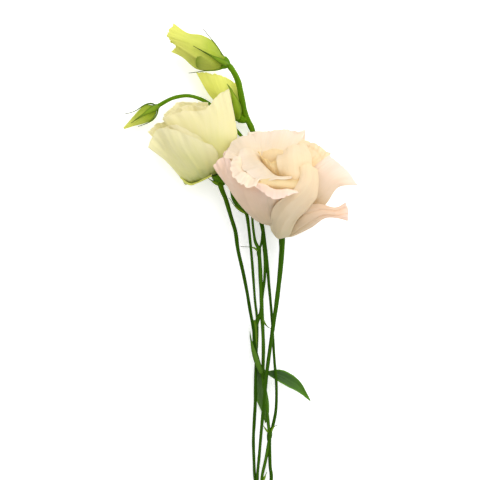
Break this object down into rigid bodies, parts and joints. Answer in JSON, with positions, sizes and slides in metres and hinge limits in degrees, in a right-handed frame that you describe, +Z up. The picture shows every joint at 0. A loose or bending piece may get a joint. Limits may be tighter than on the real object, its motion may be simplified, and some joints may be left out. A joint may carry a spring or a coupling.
{
  "type": "lisianthus flower",
  "caption": "Branched cut lisianthus spray lying down, with an open double peach-cream bloom, a half open lime-cream bloom, lime buds, thin stems and narrow leaves.",
  "frame": {"origin": "middle of the bounding box, on the surface that the spray lies on", "axes": "+Y up the spray from the cut end of the main stem to the top bud, +Z up from the surface, +X to the right of the open bloom as the picture shows it"},
  "size_m": [0.1174, 0.2731, 0.0619],
  "materials": {
    "stem_green": "fresh green stem skin",
    "leaf_green": "matte leaf",
    "petal_peach": "soft velvet petal",
    "petal_cream": "soft velvet petal",
    "bud_lime": "smooth young petal",
    "bud_green": "smooth furled petal"
  },
  "bodies": {
    "root": {"stems": "stem_green", "leaf_right": "leaf_green", "leaf_hanging": "leaf_green", "bloom_open": "petal_peach", "bloom_half": "petal_cream", "bud_top": "bud_lime", "bud_second": "bud_lime", "bud_small": "bud_green"}
  },
  "joints": []
}
